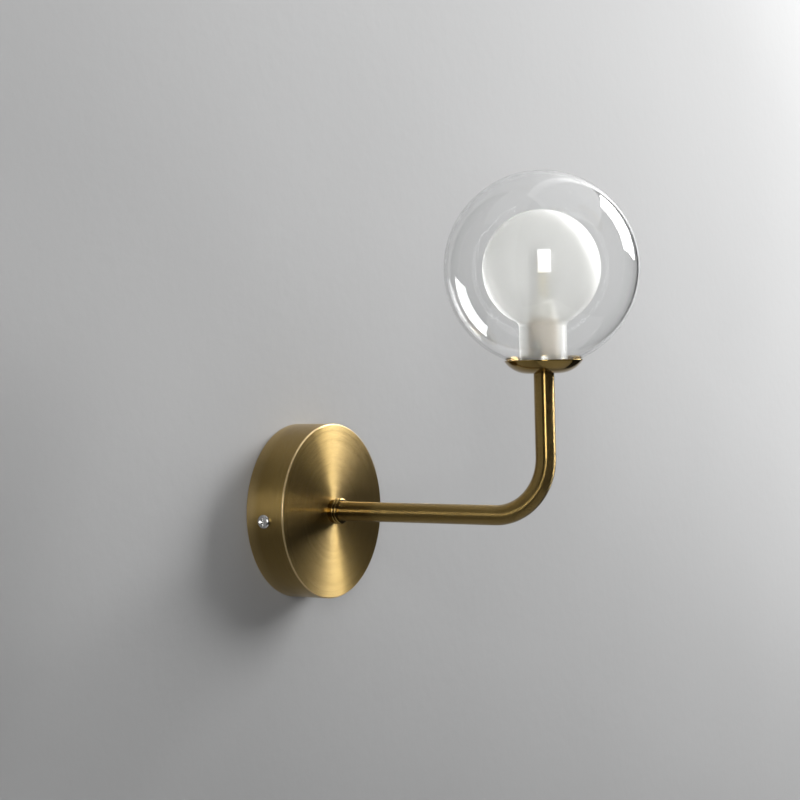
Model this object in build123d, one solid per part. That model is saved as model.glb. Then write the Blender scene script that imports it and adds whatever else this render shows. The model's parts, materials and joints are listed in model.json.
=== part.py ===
"""Globe wall sconce, in millimetres.

A round brass canopy hides a steel bracket on the wall. A hollow brass arm runs straight out of it and
bends up to a shallow cup, which carries a threaded shell and a ceramic pin-base lampholder. A clear
outer globe and a frosted inner globe share one neck, which screws on to the shell over a gasket.

Origin: centre of the canopy's back plane, on the wall. +Y points into the wall, so the arm runs
along -Y. +Z is up and +X is to the right of someone facing the wall.
"""
import os
from math import acos, atan2, cos, degrees, sin, sqrt

from build123d import *

# --- canopy -----------------------------------------------------------------------------------------
canopy_diameter = 120.0
canopy_depth = 30.0
canopy_wall = 1.2
canopy_edge_radius = 1.2
canopy_lip_radius = 0.5

# --- wall bracket -----------------------------------------------------------------------------------
bracket_thickness = 1.5
bracket_width = 20.0
bracket_bend_radius = 1.5
ear_corner_radius = 3.0
ear_reach_past_screw = 6.5
ear_boss_radius = 3.2
ear_boss_height = 1.6
wall_slot_spacing = 60.0
wall_slot_length = 12.0
wall_slot_width = 5.0
cable_hole_diameter = 13.0
tab_corner_radius = 2.0
tab_margin = 1.5

# --- canopy side screws -----------------------------------------------------------------------------
side_screw_diameter = 4.0
side_screw_length = 11.0
side_screw_head_diameter = 9.5
side_screw_head_height = 2.4
side_screw_from_wall = 15.0
side_screw_below_centre = 2.5
cross_recess_width = 1.2
cross_recess_length = 5.4
cross_recess_depth = 1.4

# --- earth stud -------------------------------------------------------------------------------------
earth_screw_diameter = 4.0
earth_screw_tip_from_wall = 0.2
earth_screw_head_diameter = 7.0
earth_screw_head_height = 2.2
earth_screw_from_centre = 17.0
earth_washer_diameter = 8.0
earth_washer_thickness = 0.8
lug_thickness = 0.8
lug_ring_diameter = 7.6
lug_barrel_wall = 0.5
lug_barrel_length = 6.0
lug_neck_length = 1.5

# --- terminal block ---------------------------------------------------------------------------------
pole_pitch = 9.0
block_length = 17.0
block_base_height = 8.0
block_side_margin = 5.0
block_corner_radius = 1.0
block_below_strip = 3.5
tower_diameter = 6.0
tower_height = 4.0
tower_offset = 4.5
insert_outer_diameter = 4.6
insert_inner_diameter = 3.0
insert_length = 15.0
insert_axis_height = 5.0
terminal_screw_diameter = 2.5
terminal_screw_head_diameter = 3.4
terminal_screw_head_height = 1.2
screw_slot_width = 0.5
screw_slot_depth = 0.6
block_screw_diameter = 2.5
block_screw_head_diameter = 4.6
block_screw_head_height = 1.6
block_screw_tip = 1.5

# --- arm, collar and threaded joints ----------------------------------------------------------------
arm_diameter = 13.3
arm_wall = 1.6
arm_reach = 165.0
arm_bend_radius = 38.3
upright_height = 91.5
collar_diameter = 18.0
collar_base_diameter = 16.4
collar_base_length = 2.4
collar_bead_radius = 1.2
collar_bead_count = 2
nipple_bore_diameter = 7.0
nipple_engagement = 10.0
nipple_tail = 1.4
lock_washer_diameter = 17.0
lock_washer_thickness = 0.8
lock_nut_flats = 14.0
lock_nut_height = 3.0

# --- cup --------------------------------------------------------------------------------------------
cup_diameter = 50.0
cup_depth = 8.1
cup_flat_diameter = 19.6
cup_wall = 1.0

# --- lampholder -------------------------------------------------------------------------------------
shell_diameter = 22.8
shell_wall = 0.8
shell_base_thickness = 1.0
shell_height = 11.0
strap_thickness = 0.8
strap_width = 7.0
strap_height = 18.0
strap_half_span = 9.45
holder_diameter = 19.0
holder_height = 26.0
holder_above_nipple = 1.0
holder_edge_radius = 1.0
holder_foot_recess_diameter = 14.0
holder_foot_recess_depth = 6.5
holder_flat_margin = 1.2
rivet_diameter = 2.4
rivet_head_diameter = 3.8
rivet_head_height = 0.7
rivet_length = 2.8
rivet_drop = 4.0
contact_thickness = 0.4
contact_width = 3.4
contact_length = 11.0
contact_base_above_recess = 1.5
contact_entry_depth = 5.0

# --- glass ------------------------------------------------------------------------------------------
outer_globe_diameter = 125.0
outer_globe_wall = 1.8
inner_globe_diameter = 75.6
inner_globe_wall = 1.8
neck_diameter = 30.5
neck_flare_radius = 4.0
gasket_diameter = 30.0
gasket_thickness = 2.5
shade_ring_height = 7.2
shade_ring_recess = 0.2

# --- lamp -------------------------------------------------------------------------------------------
lamp_base_diameter = 15.0
lamp_base_height = 12.0
lamp_base_taper = 0.5
lamp_base_edge_radius = 0.8
lamp_envelope_diameter = 14.0
lamp_envelope_height = 32.0
lamp_envelope_wall = 0.8
pin_spacing = 9.0
pin_width = 2.5
pin_thickness = 1.0
pin_length = 8.5
board_width = 5.0
board_thickness = 1.0
board_height = 26.0
diode_strip_width = 3.0
diode_strip_thickness = 0.6
diode_strip_margin = 2.0

# --- wires ------------------------------------------------------------------------------------------
wire_diameter = 1.9
wire_offset = 1.2
conductor_diameter = 1.2
conductor_bare_length = 6.0
wire_exit_radius = 12.0
wire_entry_radius = 6.0
wire_top_radius = 5.0
earth_loop_height = 17.0
earth_loop_radii = (4.8, 7.5)
wire_end_straight = 2.6

# --- fits -------------------------------------------------------------------------------------------
thread_gap = 0.05
slip_gap = 0.10
body_gap = 0.30
contact_gap = 0.15
ear_gap = 0.20
lamp_seat_gap = 0.20

# --- places worked out from the sizes above ---------------------------------------------------------
canopy_radius = canopy_diameter / 2
canopy_bore = canopy_radius - canopy_wall
ear_face = sqrt(canopy_bore**2 - (bracket_width / 2) ** 2) - ear_gap
ear_depth = side_screw_from_wall + ear_reach_past_screw

arm_radius = arm_diameter / 2
nipple_radius = arm_radius - arm_wall - thread_gap
nipple_bore = nipple_bore_diameter / 2
upright_y = -(canopy_depth + arm_reach)

lower_washer_at = canopy_depth - canopy_wall - lock_washer_thickness
lower_nut_at = lower_washer_at - lock_nut_height
lower_nipple_at = lower_nut_at - nipple_tail

cup_width = (cup_diameter - cup_flat_diameter) / 2
cup_curve = (cup_width**2 + cup_depth**2) / (2 * cup_depth)
cup_floor = upright_height + cup_wall
strap_floor = cup_floor + shell_base_thickness
upper_washer_at = strap_floor + strap_thickness
upper_nut_at = upper_washer_at + lock_washer_thickness
upper_nipple_top = upper_nut_at + lock_nut_height + nipple_tail
holder_foot = upper_nipple_top + holder_above_nipple
holder_top = holder_foot + holder_height
holder_recess_top = holder_foot + holder_foot_recess_depth
holder_flat = strap_half_span - strap_thickness - thread_gap
rivet_z = strap_floor + strap_height - rivet_drop
contact_foot = holder_recess_top + contact_base_above_recess

neck_radius = neck_diameter / 2
neck_bore = neck_radius - inner_globe_wall
lamp_foot = holder_top + lamp_seat_gap
lamp_base_top = lamp_foot + lamp_base_height

block_width = 2 * pole_pitch + 2 * block_side_margin
block_centre_z = -(bracket_width / 2 + block_below_strip + block_length / 2)
insert_axis = bracket_thickness + insert_axis_height
block_top = bracket_thickness + block_base_height
insert_end_z = block_centre_z + insert_length / 2
pole_x = {"live": -pole_pitch, "earth": 0.0, "neutral": pole_pitch}

# Pieces on the wall are drawn flat, x to the right, y up and z out from the wall, and then stood up.
FROM_WALL = Location((0, 0, 0), (90, 0, 0))
ON_UPRIGHT = Location((0, upright_y, 0))


def cup_inside_height(radius):
    """Height of the cup's inner surface at a distance from its axis."""
    outward = max(radius - cup_flat_diameter / 2, 0.0)
    return upright_height + cup_curve - sqrt((cup_curve - cup_wall) ** 2 - outward**2)


gasket_foot = cup_inside_height(gasket_diameter / 2) + thread_gap
neck_foot = gasket_foot + gasket_thickness
globe_centre = neck_foot + outer_globe_diameter / 2


def turned(*corners):
    """A solid turned about Z from corners given as (radius, height, corner radius)."""
    points = [(radius, height) for radius, height, _ in corners]
    radii = [corner for _, _, corner in corners]
    outline = FilletPolyline(*points, radius=radii, close=True)
    return revolve(Plane.XZ * make_face(outline), Axis.Z)


def tube(outer_radius, inner_radius, bottom, top):
    """A plain ring or tube on the Z axis."""
    return turned(
        (inner_radius, bottom, 0), (outer_radius, bottom, 0), (outer_radius, top, 0), (inner_radius, top, 0)
    )


def rod(radius, bottom, top):
    """A plain round bar on the Z axis."""
    return Pos(0, 0, (bottom + top) / 2) * Cylinder(radius, top - bottom)


def block_between(x_low, x_high, y_low, y_high, z_low, z_high):
    """A rectangular block between two corners."""
    centre = Pos((x_low + x_high) / 2, (y_low + y_high) / 2, (z_low + z_high) / 2)
    return centre * Box(x_high - x_low, y_high - y_low, z_high - z_low)


def hex_nut(flats, bore, bottom, top):
    """A hexagon nut with its corners chamfered on the upper side."""
    corner = flats / sqrt(3)
    blank = Pos(0, 0, bottom) * extrude(RegularPolygon(corner, 6), top - bottom)
    chamfer_drop = (corner - flats / 2) * 0.6
    cone = turned(
        (0, bottom, 0), (corner, bottom, 0), (corner, top - chamfer_drop, 0), (flats / 2, top, 0), (0, top, 0)
    )
    return (blank & cone) - rod(bore, bottom - 1, top + 1)


def slotted_screw(shank_radius, head_radius, head_height, length):
    """A cheese-head screw that stands on z = 0 with its shank below."""
    body = rod(head_radius, 0, head_height) + rod(shank_radius, -length, 0)
    slot = Pos(0, 0, head_height) * Box(2.2 * head_radius, screw_slot_width, 2 * screw_slot_depth)
    return body - slot


def swept_wire(points, radii, diameter=wire_diameter):
    """A round wire along straight runs joined by tangent arcs."""
    path = FilletPolyline(*points, radius=radii)
    start = Plane(origin=path @ 0, z_dir=path % 0)
    return sweep(start * Circle(diameter / 2), path=path)


# --- wall side --------------------------------------------------------------------------------------
def mounting_bracket():
    """Bent steel strip with two tapped ears, two wall slots, a cable hole and a tab for the block."""
    outer, inner = ear_face, ear_face - bracket_thickness
    outer_bend = bracket_bend_radius + bracket_thickness
    outline = FilletPolyline(
        (-outer, -ear_depth), (-outer, 0), (outer, 0), (outer, -ear_depth),
        (inner, -ear_depth), (inner, -bracket_thickness), (-inner, -bracket_thickness), (-inner, -ear_depth),
        radius=[0, outer_bend, outer_bend, 0, 0, bracket_bend_radius, bracket_bend_radius, 0],
        close=True,
    )
    strip = extrude(make_face(outline), bracket_width / 2, both=True)
    strip = fillet(strip.edges().filter_by(Axis.X).group_by(Axis.Y)[0], ear_corner_radius)

    tab_bottom = block_centre_z - block_length / 2 - tab_margin
    tab_half = block_width / 2 + tab_margin
    tab = block_between(-tab_half, tab_half, -bracket_thickness, 0, tab_bottom, 0)
    tab = fillet(tab.edges().filter_by(Axis.Y).group_by(Axis.Z)[0], tab_corner_radius)
    bracket = strip + tab

    for side in (-1, 1):
        boss_end = inner - ear_boss_height
        boss = side_axis(side) * rod(ear_boss_radius, boss_end, inner)
        thread = side_axis(side) * rod(side_screw_diameter / 2 + thread_gap, boss_end - 1, outer + 1)
        slot = extrude(SlotOverall(wall_slot_length, wall_slot_width), bracket_thickness)
        bracket = bracket + boss - thread
        bracket -= FROM_WALL * Pos(side * wall_slot_spacing / 2, 0, 0) * slot
        fixing = rod(block_screw_diameter / 2 + thread_gap, 0, bracket_thickness)
        bracket -= FROM_WALL * Pos(side * pole_pitch / 2, block_centre_z, 0) * fixing
    bracket -= FROM_WALL * rod(cable_hole_diameter / 2, 0, bracket_thickness)
    earth_thread = rod(earth_screw_diameter / 2 + thread_gap, 0, bracket_thickness)
    return bracket - FROM_WALL * Pos(-earth_screw_from_centre, 0, 0) * earth_thread


def side_axis(side):
    """The place of a side screw's axis, with Z pointing outwards on that side of the canopy."""
    return Pos(0, -side_screw_from_wall, -side_screw_below_centre) * Rot(0, side * 90, 0)


def canopy_cover():
    """Spun brass drum, open at the back, with a centre hole and two side holes."""
    front, bore = canopy_depth, nipple_radius + slip_gap
    inner_edge = max(canopy_edge_radius - canopy_wall, 0.0)
    drum = turned(
        (canopy_radius, 0, canopy_lip_radius), (canopy_radius, front, canopy_edge_radius), (bore, front, 0),
        (bore, front - canopy_wall, 0), (canopy_bore, front - canopy_wall, inner_edge), (canopy_bore, 0, 0),
    )
    drum = FROM_WALL * drum
    for side in (-1, 1):
        drum -= side_axis(side) * rod(side_screw_diameter / 2 + body_gap, canopy_bore - 2, canopy_radius + 1)
    return drum


def side_screw(side):
    """Pan-head screw with a cross recess, through the canopy's rim into the bracket's ear."""
    head_radius = side_screw_head_diameter / 2
    head = turned(
        (0, 0, 0), (head_radius, 0, 0), (head_radius, side_screw_head_height, side_screw_head_height * 0.75),
        (0, side_screw_head_height, 0),
    )
    recess_centre = Pos(0, 0, side_screw_head_height - cross_recess_depth / 2)
    arm = Box(cross_recess_length, cross_recess_width, cross_recess_depth + 0.01)
    for turn in (0, 90):
        head -= recess_centre * Rot(0, 0, turn) * arm
    screw = head + rod(side_screw_diameter / 2, -side_screw_length, 0)
    return side_axis(side) * Pos(0, 0, canopy_radius + slip_gap) * screw


def earth_lug():
    """Ring terminal under the earth screw, its crimp barrel pointing up."""
    barrel_radius = wire_diameter / 2 + thread_gap + lug_barrel_wall
    ring_radius = lug_ring_diameter / 2
    barrel_start = ring_radius + lug_neck_length
    ring = rod(ring_radius, 0, lug_thickness)
    neck = block_between(-barrel_radius, barrel_radius, 0, barrel_start + 1, 0, lug_thickness)
    barrel = Pos(0, barrel_start, barrel_radius) * Rot(-90, 0, 0) * rod(barrel_radius, 0, lug_barrel_length)
    wire_hole = Pos(0, barrel_start, barrel_radius) * Rot(-90, 0, 0) * rod(
        wire_diameter / 2 + thread_gap, -1, lug_barrel_length + 1
    )
    lug = ring + neck + barrel - wire_hole
    lug -= rod(earth_screw_diameter / 2 + slip_gap, -1, lug_thickness + 1)
    return FROM_WALL * Pos(-earth_screw_from_centre, 0, bracket_thickness) * lug


def earth_washer():
    washer = tube(earth_washer_diameter / 2, earth_screw_diameter / 2 + slip_gap, 0, earth_washer_thickness)
    seat = bracket_thickness + lug_thickness
    return FROM_WALL * Pos(-earth_screw_from_centre, 0, seat) * washer


def earth_screw():
    seat = bracket_thickness + lug_thickness + earth_washer_thickness
    screw = slotted_screw(
        earth_screw_diameter / 2, earth_screw_head_diameter / 2, earth_screw_head_height,
        seat - earth_screw_tip_from_wall,
    )
    return FROM_WALL * Pos(-earth_screw_from_centre, 0, seat) * screw


def at_each_terminal():
    """Places of the six terminal screws, two on each pole."""
    return [(x, block_centre_z + end * tower_offset) for x in pole_x.values() for end in (-1, 1)]


def terminal_block():
    """Moulded three-pole block: a base with a screw tower at each end of each pole."""
    base = block_between(
        -block_width / 2, block_width / 2,
        block_centre_z - block_length / 2, block_centre_z + block_length / 2, bracket_thickness, block_top,
    )
    base = fillet(base.edges().filter_by(Axis.Z), block_corner_radius)
    screw_clearance = terminal_screw_head_diameter / 2 + slip_gap
    for x, z in at_each_terminal():
        base += Pos(x, z, 0) * rod(tower_diameter / 2, block_top - 1, block_top + tower_height)
    for x, z in at_each_terminal():
        base -= Pos(x, z, 0) * rod(screw_clearance, insert_axis, block_top + tower_height + 1)
    for x in pole_x.values():
        bore = rod(insert_outer_diameter / 2 + thread_gap, -block_length, block_length)
        base -= Pos(x, block_centre_z, insert_axis) * Rot(90, 0, 0) * bore
    for side in (-1, 1):
        hole = rod(block_screw_diameter / 2 + slip_gap, 0, block_top + 1)
        base -= Pos(side * pole_pitch / 2, block_centre_z, 0) * hole
    return FROM_WALL * base


def terminal_inserts():
    """Three brass tubes that grip the wires, one in each pole."""
    half = insert_length / 2
    thread = rod(terminal_screw_diameter / 2 + thread_gap, insert_axis, insert_axis + insert_outer_diameter)
    inserts = []
    for x in pole_x.values():
        insert = Pos(x, block_centre_z, insert_axis) * Rot(90, 0, 0) * tube(
            insert_outer_diameter / 2, insert_inner_diameter / 2, -half, half
        )
        for end in (-1, 1):
            insert -= Pos(x, block_centre_z + end * tower_offset, 0) * thread
        inserts.append(FROM_WALL * insert)
    return Compound(children=inserts)


def terminal_screws():
    tip = insert_axis + conductor_diameter / 2 + thread_gap
    head_seat = insert_axis + insert_outer_diameter / 2 + body_gap
    screw = slotted_screw(
        terminal_screw_diameter / 2, terminal_screw_head_diameter / 2, terminal_screw_head_height,
        head_seat - tip,
    )
    return Compound(children=[FROM_WALL * Pos(x, z, head_seat) * screw for x, z in at_each_terminal()])


def block_screws():
    """Two small screws that hold the block to the bracket's tab."""
    length = block_base_height + bracket_thickness - block_screw_tip + 1.0
    screw = slotted_screw(
        block_screw_diameter / 2, block_screw_head_diameter / 2, block_screw_head_height, length
    )
    places = [(side * pole_pitch / 2, block_centre_z, block_top) for side in (-1, 1)]
    return Compound(children=[FROM_WALL * Pos(*place) * screw for place in places])


# --- arm --------------------------------------------------------------------------------------------
def lock_washer(seat):
    """Flat washer under a lock nut, on the Z axis."""
    return tube(lock_washer_diameter / 2, nipple_radius + slip_gap, seat, seat + lock_washer_thickness)


def arm_corner_path(start_y, end_z, x=0.0):
    """Points of a run that follows the arm's axis round its bend."""
    return [(x, start_y, 0), (x, upright_y, 0), (x, upright_y, end_z)]


def arm_tube():
    """Brass tube, straight out from the canopy and bent up to the cup."""
    path = FilletPolyline(*arm_corner_path(-canopy_depth, upright_height), radius=arm_bend_radius)
    start = Plane(origin=path @ 0, z_dir=path % 0)
    return sweep(start * (Circle(arm_radius) - Circle(arm_radius - arm_wall)), path=path)


def arm_collar():
    """Turned ring with two beads, which hides the joint of arm and canopy."""
    bore = arm_radius + slip_gap
    bead_centre = collar_diameter / 2 - collar_bead_radius
    length = collar_base_length + 2 * collar_bead_radius * collar_bead_count
    outline = Polyline(
        (bead_centre, length), (bore, length), (bore, 0), (collar_base_diameter / 2, 0),
        (collar_base_diameter / 2, collar_base_length), (bead_centre, collar_base_length),
    )
    for bead in range(collar_bead_count):
        middle = collar_base_length + (2 * bead + 1) * collar_bead_radius
        outline += CenterArc((bead_centre, middle), collar_bead_radius, -90, 180)
    ring = revolve(Plane.XZ * make_face(outline), Axis.Z)
    return FROM_WALL * Pos(0, 0, canopy_depth) * ring


def lower_nipple():
    return FROM_WALL * tube(nipple_radius, nipple_bore, lower_nipple_at, canopy_depth + nipple_engagement)


def lower_lock_washer():
    return FROM_WALL * lock_washer(lower_washer_at)


def lower_lock_nut():
    """Nut that holds the arm, its chamfered side towards the wall."""
    nut = hex_nut(lock_nut_flats, nipple_radius + thread_gap, -lower_washer_at, -lower_nut_at)
    return FROM_WALL * Rot(180, 0, 0) * nut


# --- cup and lampholder -----------------------------------------------------------------------------
def glass_cup():
    """Spun brass dish, flat in the middle and curved up to a rounded rim."""
    flat = cup_flat_diameter / 2
    bore = nipple_radius + slip_gap
    centre = (flat, upright_height + cup_curve)
    sweep_angle = degrees(acos(1 - cup_depth / cup_curve))
    outside = CenterArc(centre, cup_curve, -90, sweep_angle)
    inside = CenterArc(centre, cup_curve - cup_wall, -90, sweep_angle)
    rim_top = (outside @ 1 + inside @ 1) / 2 + (outside % 1) * cup_wall / 2
    rim = ThreePointArc(outside @ 1, rim_top, inside @ 1)
    floor = Polyline(inside @ 0, (bore, cup_floor), (bore, upright_height), outside @ 0)
    return ON_UPRIGHT * revolve(Plane.XZ * make_face(outside + rim + inside + floor), Axis.Z)


def upper_nipple():
    return ON_UPRIGHT * tube(nipple_radius, nipple_bore, upright_height - nipple_engagement, upper_nipple_top)


def holder_shell():
    """Threaded brass shell that the glass screws on to, its foot rounded to sit in the cup."""
    outside, inside = shell_diameter / 2, shell_diameter / 2 - shell_wall
    bore, top = nipple_radius + slip_gap, cup_floor + shell_height
    foot_flat = min(cup_flat_diameter / 2, outside - shell_wall)
    foot_rise = 1.5 * shell_wall
    return ON_UPRIGHT * turned(
        (bore, cup_floor, 0), (foot_flat, cup_floor, 0), (outside, cup_floor + foot_rise, 0),
        (outside, top, 0),
        (inside, top, 0), (inside, strap_floor, 0), (bore, strap_floor, 0),
    )


def holder_strap():
    """Bent steel strap, clamped under the upper nut, whose two legs hold the ceramic."""
    inner = strap_half_span - strap_thickness
    base = rod(strap_half_span, strap_floor, strap_floor + strap_thickness)
    base -= rod(nipple_radius + slip_gap, strap_floor - 1, strap_floor + 2)
    for side in (-1, 1):
        near, far = sorted((side * inner, side * strap_half_span))
        leg = block_between(
            near, far, -strap_width / 2, strap_width / 2, strap_floor, strap_floor + strap_height
        )
        leg = fillet(leg.edges().filter_by(Axis.X).group_by(Axis.Z)[-1], strap_width / 4)
        base += leg
        base -= rivet_hole(side, inner - 1, strap_half_span + 1)
    return ON_UPRIGHT * base


def rivet_hole(side, start, end):
    return Pos(0, 0, rivet_z) * Rot(0, side * 90, 0) * rod(rivet_diameter / 2 + thread_gap, start, end)


def holder_rivets():
    rivet = rod(rivet_diameter / 2, -rivet_length, 0) + turned(
        (0, 0, 0), (rivet_head_diameter / 2, 0, 0),
        (rivet_head_diameter / 2, rivet_head_height, rivet_head_height / 2), (0, rivet_head_height, 0),
    )
    pair = [Pos(side * strap_half_span, 0, rivet_z) * Rot(0, side * 90, 0) * rivet for side in (-1, 1)]
    return Compound(children=[ON_UPRIGHT * rivet for rivet in pair])


def upper_lock_washer():
    return ON_UPRIGHT * lock_washer(upper_washer_at)


def upper_lock_nut():
    return ON_UPRIGHT * hex_nut(
        lock_nut_flats, nipple_radius + thread_gap, upper_nut_at, upper_nut_at + lock_nut_height
    )


def holder_body():
    """Ceramic body with two pin slots, a hollow foot for the wires and a flat under each strap leg."""
    radius = holder_diameter / 2
    body = turned(
        (0, holder_foot, 0), (radius, holder_foot, 0), (radius, holder_top, holder_edge_radius),
        (0, holder_top, 0),
    )
    body -= rod(holder_foot_recess_diameter / 2, holder_foot - 1, holder_recess_top)
    flat_top = strap_floor + strap_height + holder_flat_margin
    contact_room = 2 * (pin_thickness / 2 + contact_gap + contact_thickness + slip_gap)
    for side in (-1, 1):
        near, far = sorted((side * holder_flat, side * (radius + 1)))
        body -= block_between(near, far, -radius, radius, holder_foot - 1, flat_top)
        body -= rivet_hole(side, holder_flat - rivet_length + strap_thickness, radius)
        pin_at = Pos(side * pin_spacing / 2, 0, 0)
        slot_half_x = pin_thickness / 2 + body_gap
        slot_half_y = pin_width / 2 + body_gap
        body -= pin_at * block_between(
            -slot_half_x, slot_half_x, -slot_half_y, slot_half_y,
            holder_top - contact_entry_depth - 1, holder_top + 1,
        )
        room_half_y = contact_width / 2 + slip_gap
        body -= pin_at * block_between(
            -contact_room / 2, contact_room / 2, -room_half_y, room_half_y,
            holder_recess_top - 1, holder_top - contact_entry_depth,
        )
    return ON_UPRIGHT * body


def holder_contacts():
    """Two spring clips, each a folded brass strip that grips one pin of the lamp."""
    inner = pin_thickness / 2 + contact_gap
    outer = inner + contact_thickness
    half_y = contact_width / 2
    clip = block_between(-outer, outer, -half_y, half_y, contact_foot, contact_foot + contact_length)
    clip -= block_between(
        -inner, inner, -half_y - 1, half_y + 1,
        contact_foot + contact_thickness, contact_foot + contact_length + 1,
    )
    return Compound(children=[ON_UPRIGHT * Pos(side * pin_spacing / 2, 0, 0) * clip for side in (-1, 1)])


# --- glass ------------------------------------------------------------------------------------------
def shade_gasket():
    """Silicone washer between the cup and the glass."""
    bore = shell_diameter / 2 + body_gap
    return ON_UPRIGHT * tube(gasket_diameter / 2, bore, gasket_foot, neck_foot)


def shade_ring():
    """Threaded ring cemented inside the foot of the neck."""
    bore, top = shell_diameter / 2 + body_gap, neck_foot + shade_ring_height
    return ON_UPRIGHT * tube(neck_bore - thread_gap, bore, neck_foot + shade_ring_recess, top)


def globe_arc(radius, mouth_radius):
    """Outline of a globe from its mouth round to its top."""
    start = -degrees(acos(mouth_radius / radius))
    return CenterArc((0, globe_centre), radius, start, 90 - start)


def outer_globe():
    """Clear globe, its mouth cemented round the neck of the frosted one."""
    radius, mouth = outer_globe_diameter / 2, neck_radius + slip_gap
    outside = globe_arc(radius, mouth)
    inside = globe_arc(radius - outer_globe_wall, mouth)
    outline = outside + inside + Line(outside @ 0, inside @ 0) + Line(outside @ 1, inside @ 1)
    return ON_UPRIGHT * revolve(Plane.XZ * make_face(outline), Axis.Z)


def inner_globe():
    """Frosted globe that flares softly into a straight neck."""
    radius = inner_globe_diameter / 2
    flare_x = neck_radius + neck_flare_radius
    flare_z = globe_centre - sqrt((radius + neck_flare_radius) ** 2 - flare_x**2)
    joint_angle = degrees(atan2(flare_z - globe_centre, flare_x))

    def side(offset):
        globe = CenterArc((0, globe_centre), radius - offset, joint_angle, 90 - joint_angle)
        flare = CenterArc((flare_x, flare_z), neck_flare_radius + offset, 180, joint_angle)
        return globe, flare, Line((neck_radius - offset, flare_z), (neck_radius - offset, neck_foot))

    outside, inside = side(0.0), side(inner_globe_wall)
    ends = Line(outside[0] @ 1, inside[0] @ 1) + Line(outside[2] @ 1, inside[2] @ 1)
    outline = Curve() + [*outside, *inside] + ends
    return ON_UPRIGHT * revolve(Plane.XZ * make_face(outline), Axis.Z)


# --- lamp -------------------------------------------------------------------------------------------
def lamp_base():
    radius = lamp_base_diameter / 2
    return ON_UPRIGHT * turned(
        (0, lamp_foot, 0), (radius, lamp_foot, lamp_base_edge_radius),
        (radius - lamp_base_taper, lamp_base_top, 0), (0, lamp_base_top, 0),
    )


def lamp_envelope():
    """Clear capsule with a domed end, open at its foot."""
    outside, inside = lamp_envelope_diameter / 2, lamp_envelope_diameter / 2 - lamp_envelope_wall
    dome = lamp_base_top + lamp_envelope_height - outside
    shape = rod(outside, lamp_base_top, dome) + Pos(0, 0, dome) * Sphere(outside)
    room = rod(inside, lamp_base_top - 1, dome) + Pos(0, 0, dome) * Sphere(inside)
    return ON_UPRIGHT * (shape - room)


def lamp_board():
    half = board_thickness / 2
    return ON_UPRIGHT * block_between(
        -board_width / 2, board_width / 2, -half, half, lamp_base_top, lamp_base_top + board_height
    )


def lamp_diode_strips():
    """Yellow phosphor strip on each face of the board."""
    face = board_thickness / 2
    strip = block_between(
        -diode_strip_width / 2, diode_strip_width / 2, face, face + diode_strip_thickness,
        lamp_base_top + diode_strip_margin, lamp_base_top + board_height - diode_strip_margin,
    )
    strip = fillet(strip.edges().filter_by(Axis.Z).group_by(Axis.Y)[-1], diode_strip_thickness / 2)
    return Compound(children=[ON_UPRIGHT * Rot(0, 0, turn) * strip for turn in (0, 180)])


def lamp_pins():
    pin = block_between(-pin_thickness / 2, pin_thickness / 2, -pin_width / 2, pin_width / 2, -pin_length, 0)
    pin = fillet(pin.edges().filter_by(Axis.X).group_by(Axis.Z)[0], pin_width * 0.45)
    places = [Pos(side * pin_spacing / 2, upright_y, lamp_foot) for side in (-1, 1)]
    return Compound(children=[place * pin for place in places])


# --- wires ------------------------------------------------------------------------------------------
def lamp_lead(side, pole):
    """Wire from one pole of the block, through the arm, to one contact of the lampholder."""
    x = side * wire_offset
    end_x = side * pin_spacing / 2
    knee = holder_recess_top - wire_end_straight
    points = [
        (pole_x[pole], -insert_axis, insert_end_z), (pole_x[pole], -insert_axis, 0), (x, -lower_nipple_at, 0),
        *arm_corner_path(0, upper_nipple_top, x)[1:],
        (end_x, upright_y, knee), (end_x, upright_y, holder_recess_top),
    ]
    radii = [wire_entry_radius, wire_exit_radius, arm_bend_radius, wire_top_radius, wire_top_radius]
    return swept_wire(points, radii)


def earth_lead():
    """Wire from the earth lug, over in a loop and down to the middle pole of the block."""
    barrel_radius = wire_diameter / 2 + thread_gap + lug_barrel_wall
    lug_y = -(bracket_thickness + barrel_radius)
    lug_end = lug_ring_diameter / 2 + lug_neck_length
    points = [
        (-earth_screw_from_centre, lug_y, lug_end), (-earth_screw_from_centre, lug_y, earth_loop_height),
        (pole_x["earth"], -insert_axis, earth_loop_height), (pole_x["earth"], -insert_axis, insert_end_z),
    ]
    return swept_wire(points, list(earth_loop_radii))


def conductor_ends():
    """Bare copper at the ends of the wires, in the terminals and at the lampholder's clips."""
    radius = conductor_diameter / 2
    in_block = rod(radius, insert_end_z - conductor_bare_length, insert_end_z)
    at_clip = rod(radius, holder_recess_top, contact_foot)
    bare = [Pos(x, -insert_axis, 0) * in_block for x in pole_x.values()]
    bare += [Pos(side * pin_spacing / 2, upright_y, 0) * at_clip for side in (-1, 1)]
    return Compound(children=bare)


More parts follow.
